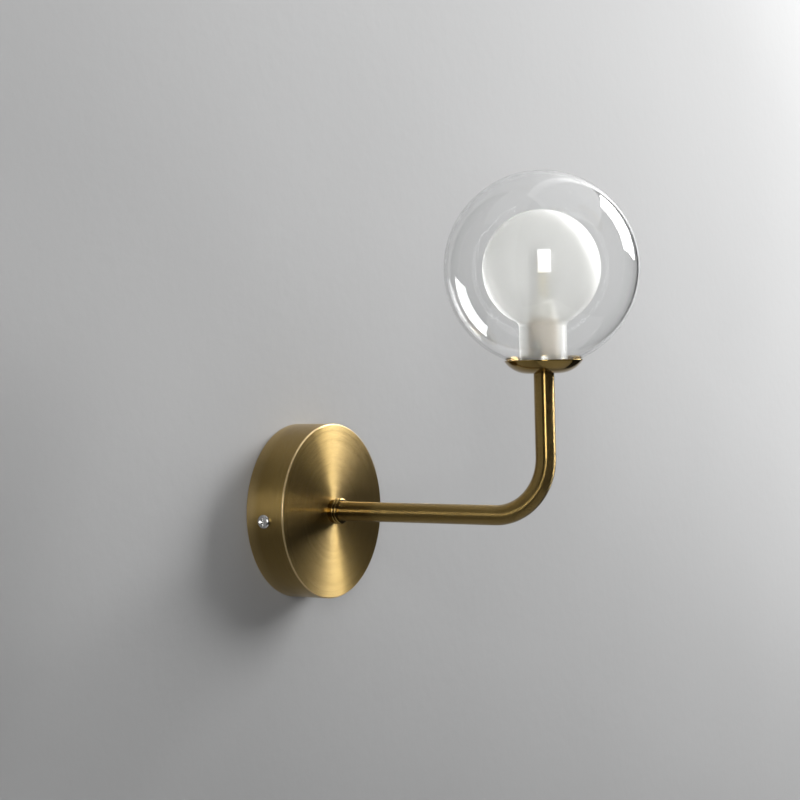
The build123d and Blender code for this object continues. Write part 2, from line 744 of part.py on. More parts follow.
PARTS = {
    "mounting_bracket": mounting_bracket,
    "canopy_cover": canopy_cover,
    "canopy_screw_left": lambda: side_screw(-1),
    "canopy_screw_right": lambda: side_screw(1),
    "earth_screw": earth_screw,
    "earth_washer": earth_washer,
    "earth_lug": earth_lug,
    "terminal_block": terminal_block,
    "terminal_inserts": terminal_inserts,
    "terminal_screws": terminal_screws,
    "block_screws": block_screws,
    "arm_tube": arm_tube,
    "arm_collar": arm_collar,
    "lower_nipple": lower_nipple,
    "lower_lock_washer": lower_lock_washer,
    "lower_lock_nut": lower_lock_nut,
    "glass_cup": glass_cup,
    "upper_nipple": upper_nipple,
    "upper_lock_washer": upper_lock_washer,
    "upper_lock_nut": upper_lock_nut,
    "holder_shell": holder_shell,
    "holder_strap": holder_strap,
    "holder_rivets": holder_rivets,
    "holder_body": holder_body,
    "holder_contacts": holder_contacts,
    "shade_gasket": shade_gasket,
    "shade_ring": shade_ring,
    "outer_globe": outer_globe,
    "inner_globe": inner_globe,
    "lamp_base": lamp_base,
    "lamp_envelope": lamp_envelope,
    "lamp_board": lamp_board,
    "lamp_diode_strips": lamp_diode_strips,
    "lamp_pins": lamp_pins,
    "live_lead": lambda: lamp_lead(-1, "live"),
    "neutral_lead": lambda: lamp_lead(1, "neutral"),
    "earth_lead": earth_lead,
    "conductor_ends": conductor_ends,
}

os.makedirs("parts", exist_ok=True)
for node, make in PARTS.items():
    export_step(make(), f"parts/{node}.step")
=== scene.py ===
# %% [markdown]
# # A globe wall sconce
# A brass wall light: a round canopy on the wall, a bent arm, a shallow cup, and a clear globe with a
# frosted one inside it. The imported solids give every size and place. This script dresses them: it
# spins finer meshes for the pieces that catch the light, mixes their finishes and lights the scene.

import json
from math import acos, atan2, cos, degrees, pi, radians, sin, sqrt

import bmesh
import bpy
from mathutils import Matrix, Vector


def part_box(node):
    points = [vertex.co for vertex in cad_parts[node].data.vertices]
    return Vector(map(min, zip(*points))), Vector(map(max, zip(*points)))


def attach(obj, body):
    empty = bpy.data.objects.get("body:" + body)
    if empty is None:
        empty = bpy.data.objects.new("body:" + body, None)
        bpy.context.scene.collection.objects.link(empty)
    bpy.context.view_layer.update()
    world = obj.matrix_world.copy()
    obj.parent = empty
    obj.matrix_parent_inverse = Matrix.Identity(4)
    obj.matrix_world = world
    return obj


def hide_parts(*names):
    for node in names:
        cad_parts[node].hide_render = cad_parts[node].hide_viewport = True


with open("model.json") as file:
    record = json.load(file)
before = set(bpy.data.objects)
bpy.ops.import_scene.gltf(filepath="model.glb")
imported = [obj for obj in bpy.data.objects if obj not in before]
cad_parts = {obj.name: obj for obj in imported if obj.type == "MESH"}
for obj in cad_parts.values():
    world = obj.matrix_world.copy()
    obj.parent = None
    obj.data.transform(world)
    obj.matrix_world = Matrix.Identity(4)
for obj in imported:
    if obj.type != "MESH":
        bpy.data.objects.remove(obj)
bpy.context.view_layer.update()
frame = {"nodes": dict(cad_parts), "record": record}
MM = 0.001

# %% [markdown]
# ## Shader maths
# Shader nodes are easier to read as sums than as wiring. `Wire` holds one output socket, and Python's
# own operators on it add Math nodes.

# %% Wires
class Wire:
    """One output socket of a recipe, which Python's operators turn into Math nodes."""

    def __init__(self, recipe, socket):
        self.recipe, self.socket = recipe, socket

    def maths(self, operation, *others):
        return self.recipe.node("ShaderNodeMath", {"operation": operation}, [self, *others])

    def __add__(self, other):
        return self.maths("ADD", other)

    def __sub__(self, other):
        return self.maths("SUBTRACT", other)

    def __mul__(self, other):
        return self.maths("MULTIPLY", other)

    def __rsub__(self, other):
        return self.recipe.node("ShaderNodeMath", {"operation": "SUBTRACT"}, [other, self])

    __radd__ = __add__
    __rmul__ = __mul__


print("wires add, subtract and multiply")

# %% [markdown]
# `Recipe` holds the nodes of one finish. Its `node` method makes any node, with the settings first,
# because they can change the sockets, and the inputs after. The other methods are the handful of nodes
# that come back in nearly every finish, so a whole finish fits in a few lines.

# %% Recipes
MIX_FIRST, MIX_SECOND, MIX_COLOUR = 6, 7, 2  # the Mix node's sockets for colours, among those for other data


class Recipe:
    """The nodes of one material, or of the world."""

    def __init__(self, owner):
        self.owner = owner
        owner.use_nodes = True
        self.tree = owner.node_tree
        self.tree.nodes.clear()

    def node(self, kind, settings=(), inputs=(), output=0):
        """Adds a node and gives back one output. Inputs are a dict by socket, or a list in order."""
        made = self.tree.nodes.new(kind)
        for name, value in dict(settings).items():
            if name == "stops":
                ends = made.color_ramp.elements
                ends[0].position, ends[0].color = value[0]
                ends[1].position, ends[1].color = value[-1]
                for place, colour in value[1:-1]:
                    ends.new(place).color = colour
            else:
                setattr(made, name, value)
        for name, value in inputs.items() if isinstance(inputs, dict) else enumerate(inputs):
            if isinstance(value, Wire):
                self.tree.links.new(value.socket, made.inputs[name])
            else:
                made.inputs[name].default_value = value
        return Wire(self, made.outputs[output])

    def place(self):
        return self.node("ShaderNodeTexCoord", output="Object")

    def normal(self):
        return self.node("ShaderNodeNewGeometry", output="Normal")

    def vector(self, operation, *inputs):
        return self.node("ShaderNodeVectorMath", {"operation": operation}, inputs)

    def scaled(self, vector, factor):
        return self.node("ShaderNodeVectorMath", {"operation": "SCALE"}, {0: vector, "Scale": factor})

    def parts_of(self, vector):
        return [self.node("ShaderNodeSeparateXYZ", (), [vector], output) for output in range(3)]

    def joined(self, x, y, z):
        return self.node("ShaderNodeCombineXYZ", (), [x, y, z])

    def noise(self, size, detail=2.0):
        """Soft noise from 0 to 1, in lumps of about the given size in metres."""
        inputs = {"Vector": self.place(), "Scale": 1 / size, "Detail": detail}
        return self.node("ShaderNodeTexNoise", (), inputs)

    def chance(self, number):
        """A random value from 0 to 1 for each whole number."""
        cell = number.maths("FLOOR")
        return self.node("ShaderNodeTexWhiteNoise", {"noise_dimensions": "1D"}, {"W": cell})

    def curve(self, value, *stops):
        """A grey ramp: each stop is (place, value)."""
        greys = [(place, (grey, grey, grey, 1)) for place, grey in stops]
        return self.node("ShaderNodeValToRGB", {"stops": greys}, [value])

    def tint(self, share, first, second):
        """A colour between two, each three numbers or a wire."""
        first, second = (c if isinstance(c, Wire) else (*c, 1) for c in (first, second))
        inputs = {0: share, MIX_FIRST: first, MIX_SECOND: second}
        return self.node("ShaderNodeMix", {"data_type": "RGBA"}, inputs, MIX_COLOUR)

    def bump(self, height, depth):
        return self.node("ShaderNodeBump", (), {"Height": height, "Distance": depth, "Strength": 1.0})

    def surface(self, inputs):
        return self.node("ShaderNodeBsdfPrincipled", (), inputs)

    def finish(self, shader, output="ShaderNodeOutputMaterial"):
        """Wires the shader to the output, and gives back the finished material or world."""
        out = self.tree.nodes.new(output)
        self.tree.links.new(shader.socket, out.inputs["Surface"])
        return self.owner


def new_finish(name):
    return Recipe(bpy.data.materials.new(name))


print("recipes are ready")

# %% [markdown]
# ## Turned pieces
# Nearly every piece here is turned: the canopy, the cup, the globes, the collar. Each one is half an
# outline spun round an axis. `Outline` grows that outline from a single vertex with straight runs and
# arcs (an arc is the same spin, made of one vertex), and `turn` spins it all the way round. A spin
# keeps the roundness as fine as we like, and the solids' own facets never show.

# %% Outlines and turning
class Outline:
    """A chain of edges in the plane of radius and height, in millimetres."""

    def __init__(self, radius, height):
        self.mesh = bmesh.new()
        self.first = self.tip = self.mesh.verts.new((radius * MM, 0, height * MM))

    def line(self, radius, height):
        tip = self.mesh.verts.new((radius * MM, 0, height * MM))
        self.mesh.edges.new((self.tip, tip))
        self.tip = tip
        return self

    def arc(self, centre_radius, centre_height, angle, steps):
        """Turns the tip about a centre. A positive angle runs anticlockwise on the drawing."""
        spun = bmesh.ops.spin(
            self.mesh, geom=[self.tip], cent=(centre_radius * MM, 0, centre_height * MM),
            axis=(0, -1, 0), angle=radians(angle), steps=steps,
        )
        self.tip = next(item for item in spun["geom_last"] if isinstance(item, bmesh.types.BMVert))
        return self

    def close(self):
        self.mesh.edges.new((self.tip, self.first))
        return self

    def turn(self, steps=192):
        bmesh.ops.spin(
            self.mesh, geom=self.mesh.verts[:] + self.mesh.edges[:], cent=(0, 0, 0), axis=(0, 0, 1),
            angle=2 * pi, steps=steps, use_merge=True,
        )
        bmesh.ops.remove_doubles(self.mesh, verts=self.mesh.verts, dist=1e-7)
        return self.mesh


def moved(mesh, matrix):
    bmesh.ops.transform(mesh, matrix=matrix, verts=mesh.verts)
    return mesh


def complete(mesh, name, finish, body, stands_for, sharp=40):
    """Makes a bmesh a piece that rides on a body and stands for its solids."""
    bmesh.ops.recalc_face_normals(mesh, faces=mesh.faces)
    for face in mesh.faces:
        face.smooth = True
    for edge in mesh.edges:
        edge.smooth = edge.calc_face_angle(0) < radians(sharp)
    data = bpy.data.meshes.new(name)
    mesh.to_mesh(data)
    mesh.free()
    data.materials.append(finish)
    piece = bpy.data.objects.new(name, data)
    bpy.context.collection.objects.link(piece)
    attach(piece, body)
    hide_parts(*stands_for)
    print(name, [round(length / MM, 1) for length in piece.dimensions], "mm,", len(data.polygons), "faces")
    return piece


cup_low, cup_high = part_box("glass_cup")
UPRIGHT_Y = (cup_low.y + cup_high.y) / 2
ON_UPRIGHT = Matrix.Translation((0, UPRIGHT_Y, 0))
FROM_WALL = Matrix.Rotation(radians(90), 4, "X")
print("the upright stands", round(-UPRIGHT_Y / MM, 1), "mm out from the wall")

# %% [markdown]
# ## Satin brass
# A polishing wheel leaves hair-fine grooves that all run the same way round, and they smear every
# reflection across themselves. That is what makes the bright bow-tie on the canopy's face. Between
# the grooves stay flat lands, which still mirror: the arm's own light line shows on the canopy. A Bump
# node compares heights from pixel to pixel and loses grooves finer than a pixel, so here each groove
# tips the normal by its own random slope instead, and the samples in a pixel add up to the smear.

# %% Grooves across the light
BRASS = (0.33, 0.227, 0.077)
BRASS_DARK = (0.26, 0.172, 0.054)
# Lighter brass for the canopy's rounded edge: partly rubbed wear, partly a painted highlight along the rim.
BRASS_RUBBED_AND_HIGHLIGHT = (0.86, 0.68, 0.38)
GROOVE = 0.003 * MM
MIRROR, GROOVE_FLOOR = 0.07, 0.1


def brushed(recipe, across, tip_towards, slope, share, rough):
    """Roughness and Normal of a brushed skin.

    Across is the distance over the grooves, in metres, and share is how much of the skin they cover.
    """
    cell = across * (1 / GROOVE)
    groove = recipe.chance(cell * 0.83 + 11.7).maths("LESS_THAN", share)
    tilt = (recipe.chance(cell) + recipe.chance(cell * 0.61 + 37.3) - 1.0) * groove * slope
    tipped = recipe.vector("ADD", recipe.normal(), recipe.scaled(tip_towards, tilt))
    smudges = recipe.noise(4 * MM) * 0.05
    roughness = groove * (rough - GROOVE_FLOOR) + smudges + MIRROR
    return {"Roughness": roughness, "Normal": recipe.vector("NORMALIZE", tipped)}


def brass_colour(recipe, spots=0.02):
    """Brass with faint clouds where fingers and lacquer have dulled it."""
    clouds = recipe.curve(recipe.noise(spots, detail=4.0), (0.35, 0.0), (0.7, 1.0))
    return recipe.tint(clouds * 0.35, BRASS, BRASS_DARK)


def canopy_brass():
    """Grooves run round the canopy's own axis. Its rounded edge is satin every way, and painted lighter:
    rubbed brass and a painted highlight.
    """
    recipe = new_finish("satin_brass_canopy")
    x, y, z = recipe.parts_of(recipe.place())
    radius = (x * x + z * z).maths("SQRT")
    around = recipe.vector("NORMALIZE", recipe.joined(z * -1.0, 0.0, x))
    outwards = recipe.vector("CROSS_PRODUCT", recipe.normal(), around)
    facing = recipe.parts_of(recipe.normal())[1].maths("ABSOLUTE")
    edge = recipe.curve(facing, (0.04, 0.0), (0.15, 1.0), (0.85, 1.0), (0.98, 0.0))
    # The rounded edge is tinted lighter: partly rubbed brass, partly a painted highlight along the rim.
    return recipe.finish(recipe.surface({
        "Base Color": recipe.tint(edge * 0.8, brass_colour(recipe), BRASS_RUBBED_AND_HIGHLIGHT), "Metallic": 1.0,
        **brushed(recipe, radius - y, outwards, slope=1.5, share=0.8, rough=edge * 0.3 + 0.31),
    }))


satin_brass_canopy = canopy_brass()
print("mixed", satin_brass_canopy.name)

# %% [markdown]
# ## The canopy
# The canopy is spun from sheet: a drum open at the back, with a soft front edge and a rolled lip that
# meets the wall. Its outline is drawn as radius against distance from the wall, turned, and then laid
# over so that its axis points out of the wall. The hole in its face is for the nipple, the short
# threaded tube that holds the arm, and the cup and the glass's shell sit on a nipple of the same size.

# %% Canopy
canopy_low, canopy_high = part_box("canopy_cover")
canopy_radius = (canopy_high.x - canopy_low.x) / 2 / MM
canopy_depth = -canopy_low.y / MM
SHEET, LIP, EDGE, NIPPLE_HOLE = 1.2, 0.5, 1.2, 5.1

drum = Outline(canopy_radius - SHEET, 0).line(canopy_radius - LIP, 0).arc(canopy_radius - LIP, LIP, 90, 5)
drum.line(canopy_radius, canopy_depth - EDGE).arc(canopy_radius - EDGE, canopy_depth - EDGE, 90, 10)
drum.line(NIPPLE_HOLE, canopy_depth).line(NIPPLE_HOLE, canopy_depth - SHEET)
drum.line(canopy_radius - SHEET, canopy_depth - SHEET)
complete(
    moved(drum.close().turn(288), FROM_WALL), "canopy_spun", satin_brass_canopy, "root",
    ["canopy_cover"],
)

# %% [markdown]
# ## The arm
# The arm is one tube, straight out of the canopy and bent up to the cup. A circle is extruded for the
# straight runs and spun for the bend, once for the outside and once for the bore, and the two are
# bridged at the ends. Its scratches run round the tube, so every point has to know which way the tube
# runs there: that direction is stored in the mesh as the attribute `run`, and the distance as `along`.

# %% Arm
TUBE_RADIUS, TUBE_WALL, BEND = 6.65, 1.6, 38.3
reach, rise = -UPRIGHT_Y / MM, cup_low.z / MM


def tube_skin(mesh, radius, sides=96):
    """One skin of the bent tube. Gives back the edges of its two ends."""
    circle = bmesh.ops.create_circle(mesh, segments=sides, radius=radius * MM)["verts"]
    stand = Matrix.Translation((0, -canopy_depth * MM, 0)) @ FROM_WALL
    bmesh.ops.transform(mesh, matrix=stand, verts=circle)
    start = list({edge for vert in circle for edge in vert.link_edges})

    def pushed(edges, by):
        grown = bmesh.ops.extrude_edge_only(mesh, edges=edges)["geom"]
        verts = [item for item in grown if isinstance(item, bmesh.types.BMVert)]
        bmesh.ops.translate(mesh, vec=Vector(by) * MM, verts=verts)
        return [item for item in grown if isinstance(item, bmesh.types.BMEdge) and len(item.link_faces) == 1]

    edges = pushed(start, (0, -(reach - BEND - canopy_depth), 0))
    spun = bmesh.ops.spin(
        mesh, geom=edges, cent=(0, -(reach - BEND) * MM, BEND * MM), axis=(-1, 0, 0),
        angle=radians(90), steps=48,
    )
    edges = [item for item in spun["geom_last"] if isinstance(item, bmesh.types.BMEdge)]
    return start, pushed(edges, (0, 0, rise - BEND))


def arm_station(point):
    """How far along the arm's axis a point lies, in metres, and which way the axis runs there."""
    from_bend = Vector((0, point.y + (reach - BEND) * MM, point.z - BEND * MM))
    if from_bend.y >= 0:
        return -point.y, Vector((0, -1, 0))
    straight, bent = (reach - BEND) * MM, BEND * MM * pi / 2
    if from_bend.z >= 0:
        return straight + bent + from_bend.z, Vector((0, 0, 1))
    turned = atan2(-from_bend.y, -from_bend.z)
    return straight + BEND * MM * turned, Vector((0, -cos(turned), sin(turned)))


def arm_brass():
    recipe = new_finish("satin_brass_arm")
    along = recipe.node("ShaderNodeAttribute", {"attribute_name": "along"}, output="Fac")
    run = recipe.node("ShaderNodeAttribute", {"attribute_name": "run"}, output="Vector")
    return recipe.finish(recipe.surface({
        "Base Color": brass_colour(recipe), "Metallic": 1.0,
        **brushed(recipe, along, run, slope=1.3, share=0.7, rough=0.16),
    }))


arm_mesh = bmesh.new()
outer_start, outer_end = tube_skin(arm_mesh, TUBE_RADIUS)
bore_start, bore_end = tube_skin(arm_mesh, TUBE_RADIUS - TUBE_WALL)
bmesh.ops.bridge_loops(arm_mesh, edges=outer_start + bore_start)
bmesh.ops.bridge_loops(arm_mesh, edges=outer_end + bore_end)
satin_brass_arm = arm_brass()
arm = complete(arm_mesh, "arm_bent", satin_brass_arm, "root", ["arm_tube"])
along = arm.data.attributes.new("along", "FLOAT", "POINT")
run = arm.data.attributes.new("run", "FLOAT_VECTOR", "POINT")
for vertex in arm.data.vertices:
    along.data[vertex.index].value, run.data[vertex.index].vector = arm_station(vertex.co)
print("the arm's axis is", round(max(item.value for item in along.data) / MM), "mm long from the wall")

# %% [markdown]
# ## Polished brass
# The collar and the cup are polished after turning, so they mirror the room, and only sparse, very
# shallow turning lines are left. The recipe for the grooves is the same one, with a small slope.

# %% Polished brass
def polished_brass(name, centre_y, axis):
    """Axis is the index of the axis that the piece was turned on."""
    recipe = new_finish(name)
    place = recipe.vector("SUBTRACT", recipe.place(), (0, centre_y, 0))
    x, y, z = recipe.parts_of(place)
    second, height = (z, y) if axis == 1 else (y, z)
    radius = (x * x + second * second).maths("SQRT")
    around = recipe.joined(z * -1.0, 0.0, x) if axis == 1 else recipe.joined(y * -1.0, x, 0.0)
    outwards = recipe.vector("CROSS_PRODUCT", recipe.normal(), recipe.vector("NORMALIZE", around))
    return recipe.finish(recipe.surface({
        "Base Color": brass_colour(recipe, 0.012), "Metallic": 1.0,
        **brushed(recipe, radius + height, outwards, slope=0.1, share=0.4, rough=0.14),
    }))


polished_collar = polished_brass("polished_brass_collar", 0.0, 1)
polished_cup = polished_brass("polished_brass_cup", UPRIGHT_Y, 2)
print("mixed", polished_collar.name, "and", polished_cup.name)

# %% [markdown]
# ## The collar
# Where the arm meets the canopy sits a small turned collar: a plain foot and two round beads. Each
# bead is half a circle on the outline, so a pair of thin lights runs round it.

# %% Collar
FOOT_RADIUS, FOOT_HEIGHT, BEAD, COLLAR_RADIUS, COLLAR_BORE = 8.2, 2.4, 1.2, 9.0, 6.75
bead_centre = COLLAR_RADIUS - BEAD

ring = Outline(COLLAR_BORE, canopy_depth).line(FOOT_RADIUS, canopy_depth)
ring.line(FOOT_RADIUS, canopy_depth + FOOT_HEIGHT).line(bead_centre, canopy_depth + FOOT_HEIGHT)
for bead in range(2):
    ring.arc(bead_centre, canopy_depth + FOOT_HEIGHT + (2 * bead + 1) * BEAD, 180, 16)
ring.line(COLLAR_BORE, canopy_depth + FOOT_HEIGHT + 4 * BEAD).close()
complete(
    moved(ring.turn(128), FROM_WALL), "collar_turned", polished_collar, "root", ["arm_collar"],
)

# %% [markdown]
# ## The cup
# The cup is a shallow spun dish, flat where the arm's thread passes through and curved up to a rim
# that is rounded over. Both skins are arcs about the same centre, joined by half a circle at the rim.

# %% Cup
CUP_FLAT, CUP_WALL, CUP_RADIUS, CUP_DEPTH = 9.8, 1.0, 25.0, 8.1
cup_foot = cup_low.z / MM
cup_curve = ((CUP_RADIUS - CUP_FLAT) ** 2 + CUP_DEPTH**2) / (2 * CUP_DEPTH)
cup_angle = degrees(acos(1 - CUP_DEPTH / cup_curve))
rim_arm = cup_curve - CUP_WALL / 2
rim_centre = (
    CUP_FLAT + rim_arm * sin(radians(cup_angle)),
    cup_foot + cup_curve - rim_arm * cos(radians(cup_angle)),
)

dish = Outline(NIPPLE_HOLE, cup_foot).line(CUP_FLAT, cup_foot)
dish.arc(CUP_FLAT, cup_foot + cup_curve, cup_angle, 40).arc(*rim_centre, 180, 10)
dish.arc(CUP_FLAT, cup_foot + cup_curve, -cup_angle, 40).line(NIPPLE_HOLE, cup_foot + CUP_WALL).close()
complete(
    moved(dish.turn(192), ON_UPRIGHT), "cup_spun", polished_cup, "root", ["glass_cup"],
)

# %% [markdown]
# ## Glass
# Clear glass bends what is behind it, and a light cannot shine straight through it in a path tracer:
# without help the frosted globe inside would stay dark. So shadow rays, and only those, pass through a
# Transparent shader. The frosted globe is the same glass with a skin of acid frosting, which scatters
# what passes through and catches a little light itself: it is rough glass with a touch of white. Its
# IOR is low: a look through the ball crosses four skins, and with less bending at each of them more of
# the room's light comes through.

# %% Glass finishes
LEFT_AT_EACH_SKIN = (0.9, 0.9, 0.9, 1)


def let_light_through(recipe, shader, share=1.0):
    """Lets shadow rays through, as real glass lets the lamps' light through, a little less at each skin."""
    shadow = recipe.node("ShaderNodeLightPath", output="Is Shadow Ray")
    clear = recipe.node("ShaderNodeBsdfTransparent", (), [LEFT_AT_EACH_SKIN])
    return recipe.node("ShaderNodeMixShader", (), [shadow * share, shader, clear])


def clear_glass(name, colour, roughness=0.0):
    recipe = new_finish(name)
    glass = recipe.surface({
        "Base Color": (*colour, 1), "Transmission Weight": 1.0, "IOR": 1.4, "Roughness": roughness,
        "Normal": recipe.bump(recipe.noise(25 * MM, detail=1.0), 0.02 * MM),
    })
    return recipe.finish(let_light_through(recipe, glass))


def frosted_glass():
    recipe = new_finish("frosted_glass_globe")
    grain = recipe.noise(0.4 * MM, detail=3.0)
    clouds = recipe.noise(12 * MM, detail=2.0)
    glass = recipe.surface({
        "Base Color": (0.965, 0.965, 0.95, 1), "Transmission Weight": 0.95, "IOR": 1.1,
        "Roughness": clouds * 0.08 + 0.61, "Normal": recipe.bump(grain, 0.01 * MM),
    })
    return recipe.finish(let_light_through(recipe, glass, 0.6))


glass_clear = clear_glass("clear_glass_globe", (0.995, 0.998, 0.997))
glass_lamp = clear_glass("clear_glass_lamp", (0.97, 0.97, 0.97), 0.02)
glass_frosted = frosted_glass()
print("mixed", glass_clear.name, glass_lamp.name, glass_frosted.name)

# %% [markdown]
# ## The two globes
# The outer globe is blown with a wall of 1.8 mm, and its mouth is sealed round the neck of the inner
# one. Both skins are modelled, because the dark and bright lines near the edge of a glass globe come
# from the bending in its wall. Each outline starts and ends on the axis, so the spin closes its top.

# %% Outer globe
OUTER_RADIUS, GLASS_WALL, MOUTH = 62.5, 1.8, 15.35
globe_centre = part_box("outer_globe")[1].z / MM - OUTER_RADIUS


def mouth_angle(radius):
    """Degrees from the top of the globe round to its mouth."""
    return 90 + degrees(acos(MOUTH / radius))


bubble = Outline(0, globe_centre + OUTER_RADIUS - GLASS_WALL)
bubble.arc(0, globe_centre, -mouth_angle(OUTER_RADIUS - GLASS_WALL), 110)
bubble.line(MOUTH, globe_centre - sqrt(OUTER_RADIUS**2 - MOUTH**2))
bubble.arc(0, globe_centre, mouth_angle(OUTER_RADIUS), 110)
complete(
    moved(bubble.turn(224), ON_UPRIGHT), "outer_globe_blown", glass_clear, "shade", ["outer_globe"],
)

# %% [markdown]
# The inner globe has a straight neck that runs into the ball with a flare. The flare is an arc that
# touches both, so its centre lies where neck and ball, both grown by the flare's radius, would cross.

# %% Inner globe
INNER_RADIUS, NECK_RADIUS, FLARE, FOOT_ROUND = 37.8, 15.25, 4.0, 0.5
neck_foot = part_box("inner_globe")[0].z / MM
flare_radius = NECK_RADIUS + FLARE
flare_height = globe_centre - sqrt((INNER_RADIUS + FLARE) ** 2 - flare_radius**2)
flare_angle = degrees(atan2(globe_centre - flare_height, flare_radius))
bore = NECK_RADIUS - GLASS_WALL

frosted = Outline(0, globe_centre + INNER_RADIUS - GLASS_WALL)
frosted.arc(0, globe_centre, -(90 + flare_angle), 72).arc(flare_radius, flare_height, flare_angle, 16)
frosted.line(bore, neck_foot + FOOT_ROUND).arc(bore + FOOT_ROUND, neck_foot + FOOT_ROUND, 90, 5)
frosted.line(NECK_RADIUS - FOOT_ROUND, neck_foot)
frosted.arc(NECK_RADIUS - FOOT_ROUND, neck_foot + FOOT_ROUND, 90, 5).line(NECK_RADIUS, flare_height)
frosted.arc(flare_radius, flare_height, -flare_angle, 16).arc(0, globe_centre, 90 + flare_angle, 72)
complete(
    moved(frosted.turn(160), ON_UPRIGHT), "inner_globe_blown", glass_frosted, "shade", ["inner_globe"],
)

# %% [markdown]
# ## Metals and mouldings out of sight
# Behind the canopy and inside the neck are plain working pieces: zinc-plated steel, machined brass,
# plastic, ceramic, silicone. Each finish still gets the variation of the real thing, such as the
# milky blotches of zinc plating or the specks of fired ceramic. The metals differ in their two
# colours, in their shine and in the size of their blotches, so one recipe makes them all.

# %% Working metals
def metal(name, colour, darker, roughness, blotches):
    recipe = new_finish(name)
    clouds = recipe.curve(recipe.noise(blotches, detail=5.0), (0.38, 0.0), (0.66, 1.0))
    fine = recipe.noise(0.3 * MM, detail=3.0)
    return recipe.finish(recipe.surface({
        "Base Color": recipe.tint(clouds, colour, darker), "Metallic": 1.0,
        "Roughness": clouds * 0.12 + fine * 0.08 + roughness, "Normal": recipe.bump(fine, 0.004 * MM),
    }))


machined_brass = metal("machined_brass", (0.72, 0.58, 0.3), (0.62, 0.46, 0.2), 0.2, 3 * MM)
zinc_plate = metal("zinc_plate", (0.68, 0.7, 0.73), (0.6, 0.58, 0.5), 0.26, 5 * MM)
nickel_plate = metal("nickel_plate", (0.82, 0.81, 0.79), (0.72, 0.71, 0.69), 0.1, 2 * MM)
tinned_copper = metal("tinned_copper", (0.8, 0.68, 0.58), (0.72, 0.5, 0.36), 0.24, 1.5 * MM)
turned_aluminium = metal("turned_aluminium", (0.77, 0.78, 0.79), (0.7, 0.7, 0.7), 0.22, 3 * MM)
print("mixed five working metals")

# %% [markdown]
# Plastic, fired ceramic, silicone and wire insulation are even colours with a fine grain. Again one
# recipe makes them, and its settings are the colours, the share of specks, the shine and the grain.

# %% Mouldings, ceramic and rubber
def moulding(name, colour, speck, share, roughness, grain, extra=()):
    """Plastic, ceramic or rubber: an even colour with fine specks and a soft grain."""
    recipe = new_finish(name)
    specks = recipe.curve(recipe.noise(0.25 * MM, detail=2.0), (0.6, 0.0), (0.72, 1.0))
    clouds = recipe.noise(6 * MM, detail=3.0)
    return recipe.finish(recipe.surface({
        "Base Color": recipe.tint(specks * share + clouds * 0.15, colour, speck),
        "Roughness": clouds * 0.1 + roughness,
        "Normal": recipe.bump(recipe.noise(grain, detail=3.0), 0.02 * MM), **dict(extra),
    }))


white_plastic = moulding("white_plastic", (0.84, 0.83, 0.79), (0.74, 0.72, 0.66), 0.2, 0.38, 0.6 * MM)
holder_ceramic = moulding("holder_ceramic", (0.62, 0.56, 0.48), (0.44, 0.37, 0.29), 0.6, 0.55, 0.5 * MM)
lamp_ceramic = moulding("lamp_ceramic", (0.88, 0.88, 0.86), (0.78, 0.78, 0.75), 0.3, 0.45, 0.4 * MM)
phosphor = moulding("phosphor_strip", (0.86, 0.68, 0.14), (0.7, 0.48, 0.06), 0.5, 0.35, 0.4 * MM)
silicone = moulding(
    "clear_silicone", (0.86, 0.86, 0.83), (0.76, 0.76, 0.72), 0.2, 0.4, 0.8 * MM,
    {"Transmission Weight": 0.35, "IOR": 1.41},
)
brown_wire = moulding("brown_insulation", (0.16, 0.07, 0.035), (0.1, 0.04, 0.02), 0.3, 0.42, 0.5 * MM)
blue_wire = moulding("blue_insulation", (0.05, 0.16, 0.5), (0.03, 0.1, 0.36), 0.3, 0.42, 0.5 * MM)
print("mixed seven mouldings")

# %% [markdown]
# Earth insulation is green with a yellow stripe. A stripe that follows a wire needs coordinates of its
# own, but this wire's loop lies flat, so the way that the surface faces is enough to place the stripe.

# %% Earth wire
def earth_insulation():
    """Green with a yellow stripe on the wire's front and back. Its loop lies flat, so Y picks them."""
    recipe = new_finish("green_insulation")
    facing = recipe.parts_of(recipe.normal())[1].maths("ABSOLUTE")
    stripe = recipe.curve(facing, (0.68, 0.0), (0.74, 1.0))
    return recipe.finish(recipe.surface({
        "Base Color": recipe.tint(stripe, (0.06, 0.26, 0.05), (0.75, 0.6, 0.06)),
        "Roughness": recipe.noise(3 * MM) * 0.1 + 0.4,
        "Normal": recipe.bump(recipe.noise(0.5 * MM, detail=3.0), 0.02 * MM),
    }))


green_wire = earth_insulation()
print("mixed", green_wire.name)

# %% [markdown]
# ## The threaded joint of the glass
# The glass screws on to a thin shell with a rolled thread, which has sloping flanks. A real thread
# climbs; at this size, and out of sight, closed rings with the same profile look the same, and they
# keep each piece a plain turned one. Four short runs along the outline make each ring.

# %% Threaded shell
PITCH, THREAD = 1.8, 0.35


def rolled_thread(outline, radius, start, end):
    """Rings of thread along a wall, from one height to the other, on the wall's radius."""
    turns = int(abs(end - start) / PITCH)
    step = (end - start) / turns
    for turn in range(turns):
        for out, share in ((THREAD, 0.3), (THREAD, 0.5), (0, 0.8), (0, 1.0)):
            outline.line(radius + out, start + (turn + share) * step)
    print(turns, "turns of thread at radius", round(radius, 2))


shell_low, shell_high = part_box("holder_shell")
shell_radius = (shell_high.x - shell_low.x) / 2 / MM
shell_foot, shell_top = shell_low.z / MM, shell_high.z / MM
SHELL_WALL, SHELL_FLOOR, SHOULDER, PLAIN_FOOT, PLAIN_TOP = 0.8, 1.0, 1.2, 1.6, 0.8
wall_radius = shell_radius - THREAD

